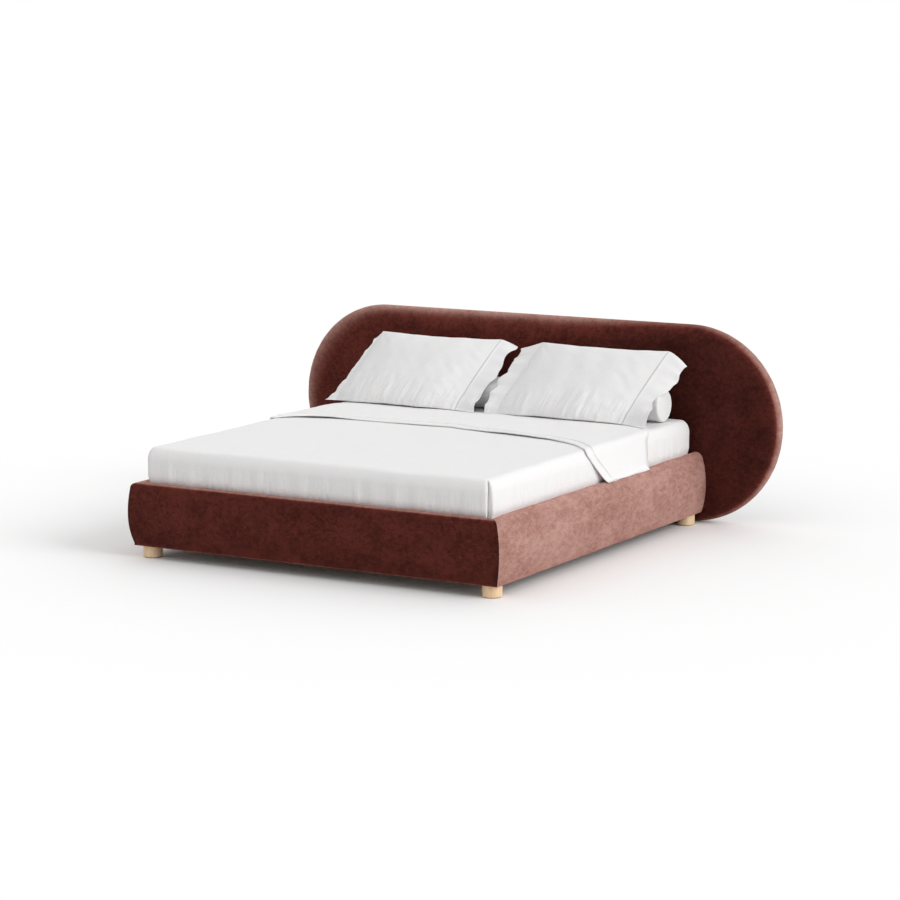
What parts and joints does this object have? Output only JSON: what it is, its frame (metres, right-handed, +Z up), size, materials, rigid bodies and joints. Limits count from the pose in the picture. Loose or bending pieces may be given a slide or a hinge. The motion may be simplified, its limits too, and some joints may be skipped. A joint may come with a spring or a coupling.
{
  "type": "upholstered bed",
  "caption": "Double bed with velvet-covered rails, a long round-ended headboard, round wooden legs, slatted base, mattress, bolster, pillows and white linen.",
  "frame": {"origin": "middle of the bed's whole footprint, on the floor", "axes": "+X along the bed's width, +Y from the foot towards the headboard, +Z up"},
  "size_m": [2.6996, 2.21, 0.972],
  "materials": {
    "velvet": "short cotton velvet, brushed pile",
    "upholstery_foam": "cut foam",
    "spruce": "planed, unfinished",
    "beech": "turned, matt lacquer",
    "birch_plywood": "sanded",
    "zinc_steel": "zinc plated",
    "felt": "pressed felt",
    "webbing": "woven tape",
    "lining_cloth": "non-woven lining",
    "cotton_percale": "plain woven, washed",
    "mattress_ticking": "knitted ticking",
    "pillow_ticking": "down-proof cotton"
  },
  "bodies": {
    "bed_frame": {"beam_hangers": "zinc_steel", "centre_beam": "spruce", "centre_leg_front": "beech", "centre_leg_rear": "beech", "corner_angles": "zinc_steel", "corner_post_front_left": "spruce", "corner_post_front_right": "spruce", "corner_post_rear_left": "spruce", "corner_post_rear_right": "spruce", "foot_board": "spruce", "foot_cover": "velvet", "foot_foam": "upholstery_foam", "frame_screws": "zinc_steel", "head_board": "spruce", "headboard_back_cloth": "lining_cloth", "headboard_bolts": "zinc_steel", "headboard_core": "birch_plywood", "headboard_cover": "velvet", "headboard_foam": "upholstery_foam", "headboard_washers": "zinc_steel", "ledger_left": "spruce", "ledger_right": "spruce", "ledger_screws": "zinc_steel", "leg_front_left": "beech", "leg_front_right": "beech", "leg_pads": "felt", "leg_rear_left": "beech", "leg_rear_right": "beech", "leg_studs": "zinc_steel", "side_board_left": "spruce", "side_board_right": "spruce", "side_cover_left": "velvet", "side_cover_right": "velvet", "side_foam_left": "upholstery_foam", "side_foam_right": "upholstery_foam", "slat_01": "birch_plywood", "slat_02": "birch_plywood", "slat_03": "birch_plywood", "slat_04": "birch_plywood", "slat_05": "birch_plywood", "slat_06": "birch_plywood", "slat_07": "birch_plywood", "slat_08": "birch_plywood", "slat_09": "birch_plywood", "slat_10": "birch_plywood", "slat_11": "birch_plywood", "slat_12": "birch_plywood", "slat_13": "birch_plywood", "slat_14": "birch_plywood", "slat_tapes": "webbing"},
    "mattress_set": {"mattress": "mattress_ticking", "fitted_sheet": "cotton_percale", "top_sheet": "cotton_percale"},
    "bolster_roll": {"bolster_cover": "cotton_percale", "bolster_filling": "pillow_ticking"},
    "left_pillow": {"pillowcase_left": "cotton_percale", "pillow_left": "pillow_ticking"},
    "right_pillow": {"pillowcase_right": "cotton_percale", "pillow_right": "pillow_ticking"}
  },
  "joints": [
    {"name": "mattress_lift", "type": "slide", "parent": "bed_frame", "child": "mattress_set", "axis": [0, 0, 1], "range_m": [0, 0.15]},
    {"name": "bolster_lift", "type": "slide", "parent": "mattress_set", "child": "bolster_roll", "axis": [0, 0, 1], "range_m": [0, 0.2]},
    {"name": "left_pillow_lift", "type": "slide", "parent": "bolster_roll", "child": "left_pillow", "axis": [0, 0, 1], "range_m": [0, 0.25]},
    {"name": "right_pillow_lift", "type": "slide", "parent": "bolster_roll", "child": "right_pillow", "axis": [0, 0, 1], "range_m": [0, 0.25]}
  ]
}
